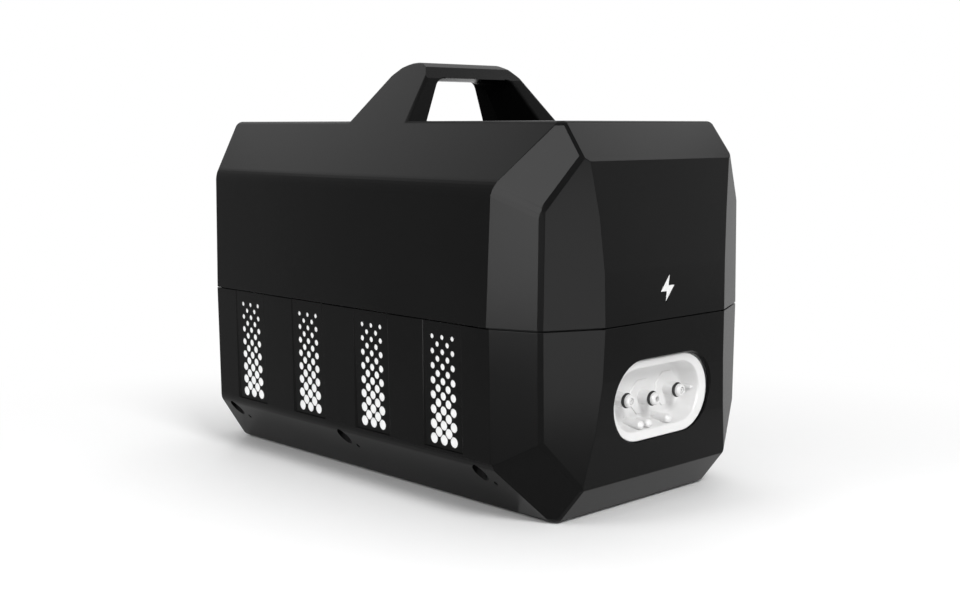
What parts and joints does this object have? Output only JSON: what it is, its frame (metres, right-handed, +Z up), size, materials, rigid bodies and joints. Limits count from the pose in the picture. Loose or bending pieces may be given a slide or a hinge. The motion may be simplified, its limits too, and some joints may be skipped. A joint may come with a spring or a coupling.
{
  "type": "hot cold therapy machine",
  "caption": "Black carry-handled hot and cold therapy machine with vent strips, a hose socket, a top control panel and a filler hatch.",
  "frame": {"origin": "centre of the footprint, on the surface that the foot strips stand on", "axes": "+Z up, +X out of the end with the hose socket, -Y out of the machine's left side"},
  "size_m": [0.4196, 0.2398, 0.3098],
  "materials": {
    "case_black": "fine satin texture",
    "panel_black": "gloss",
    "fitting_white": "satin",
    "felt_white": "felt",
    "rubber_black": "matte",
    "button_grey": "satin",
    "tank_plastic": "translucent satin",
    "bright_steel": "zinc plated",
    "aluminium": "satin",
    "ceramic": "matt ceramic",
    "board_green": "solder mask",
    "hose_grey": "satin",
    "display_glass": "dark gloss"
  },
  "bodies": {
    "machine": {"upper_shell": "case_black", "lower_shell": "case_black", "vent_grille_left_1": "case_black", "vent_grille_left_2": "case_black", "vent_grille_left_3": "case_black", "vent_grille_left_4": "case_black", "filter_sheet_left": "felt_white", "vent_grille_right_1": "case_black", "vent_grille_right_2": "case_black", "vent_grille_right_3": "case_black", "vent_grille_right_4": "case_black", "filter_sheet_right": "felt_white", "connector_housing": "fitting_white", "nipple_supply": "fitting_white", "nipple_air": "fitting_white", "nipple_return": "fitting_white", "indicator_lens": "fitting_white", "o_ring_supply": "rubber_black", "o_ring_air": "rubber_black", "o_ring_return": "rubber_black", "foot_strip_front": "rubber_black", "foot_strip_rear": "rubber_black", "control_bezel": "panel_black", "power_inlet": "panel_black", "display_window": "display_glass", "control_board": "board_green", "fan_frame_1": "case_black", "fan_frame_2": "case_black", "pump_body": "case_black", "air_pump": "case_black", "hatch_pin": "bright_steel", "case_screw_1": "bright_steel", "case_screw_2": "bright_steel", "case_screw_3": "bright_steel", "case_screw_4": "bright_steel", "case_screw_5": "bright_steel", "case_screw_6": "bright_steel", "heat_sink": "aluminium", "cold_block": "aluminium", "power_supply": "aluminium", "water_tank": "tank_plastic", "valve_block": "tank_plastic", "thermoelectric_module_1": "ceramic", "thermoelectric_module_2": "ceramic", "hose_suction": "hose_grey", "hose_pressure": "hose_grey", "hose_delivery": "hose_grey"},
    "button_power": {"button_power": "button_grey"},
    "button_mode": {"button_mode": "button_grey"},
    "button_minus": {"button_minus": "button_grey"},
    "button_plus": {"button_plus": "button_grey"},
    "button_start": {"button_start": "button_grey"},
    "hatch": {"hatch_lid": "case_black"},
    "cap": {"filler_cap": "button_grey"},
    "poppet_supply": {"poppet_supply": "fitting_white"},
    "poppet_return": {"poppet_return": "fitting_white"},
    "fan_1": {"fan_rotor_1": "panel_black"},
    "fan_2": {"fan_rotor_2": "panel_black"},
    "impeller": {"pump_impeller": "fitting_white"},
    "rocker": {"rocker_switch": "panel_black"}
  },
  "joints": [
    {"name": "press_power", "type": "slide", "parent": "machine", "child": "button_power", "axis": [0, 0, -1], "range_m": [0, 0.0008], "stiffness_N_per_m": 300},
    {"name": "press_mode", "type": "slide", "parent": "machine", "child": "button_mode", "axis": [0, 0, -1], "range_m": [0, 0.0008], "stiffness_N_per_m": 300},
    {"name": "press_minus", "type": "slide", "parent": "machine", "child": "button_minus", "axis": [0, 0, -1], "range_m": [0, 0.0008], "stiffness_N_per_m": 300},
    {"name": "press_plus", "type": "slide", "parent": "machine", "child": "button_plus", "axis": [0, 0, -1], "range_m": [0, 0.0008], "stiffness_N_per_m": 300},
    {"name": "press_start", "type": "slide", "parent": "machine", "child": "button_start", "axis": [0, 0, -1], "range_m": [0, 0.0008], "stiffness_N_per_m": 300},
    {"name": "open_hatch", "type": "hinge", "parent": "machine", "child": "hatch", "pos_m": [-0.1427, 0, 0.261], "axis": [0, -1, 0], "range_deg": [0, 90]},
    {"name": "turn_cap", "type": "hinge", "parent": "machine", "child": "cap", "pos_m": [-0.106, 0, 0.255], "axis": [0, 0, 1], "range_deg": [0, 90]},
    {"name": "open_supply", "type": "slide", "parent": "machine", "child": "poppet_supply", "axis": [-1, 0, 0], "range_m": [0, 0.002], "stiffness_N_per_m": 200},
    {"name": "open_return", "type": "slide", "parent": "machine", "child": "poppet_return", "axis": [-1, 0, 0], "range_m": [0, 0.002], "stiffness_N_per_m": 200},
    {"name": "spin_fan_1", "type": "hinge", "parent": "machine", "child": "fan_1", "pos_m": [-0.044, -0.058, 0.083], "axis": [0, 1, 0], "continuous": true},
    {"name": "spin_fan_2", "type": "hinge", "parent": "machine", "child": "fan_2", "pos_m": [0.04, -0.058, 0.083], "axis": [0, 1, 0], "continuous": true},
    {"name": "spin_impeller", "type": "hinge", "parent": "machine", "child": "impeller", "pos_m": [0.105, -0.054, 0.025], "axis": [1, 0, 0], "continuous": true},
    {"name": "tip_rocker", "type": "hinge", "parent": "machine", "child": "rocker", "pos_m": [-0.20267, -0.0155, 0.065], "axis": [0, -1, 0], "range_deg": [0, 18]}
  ]
}
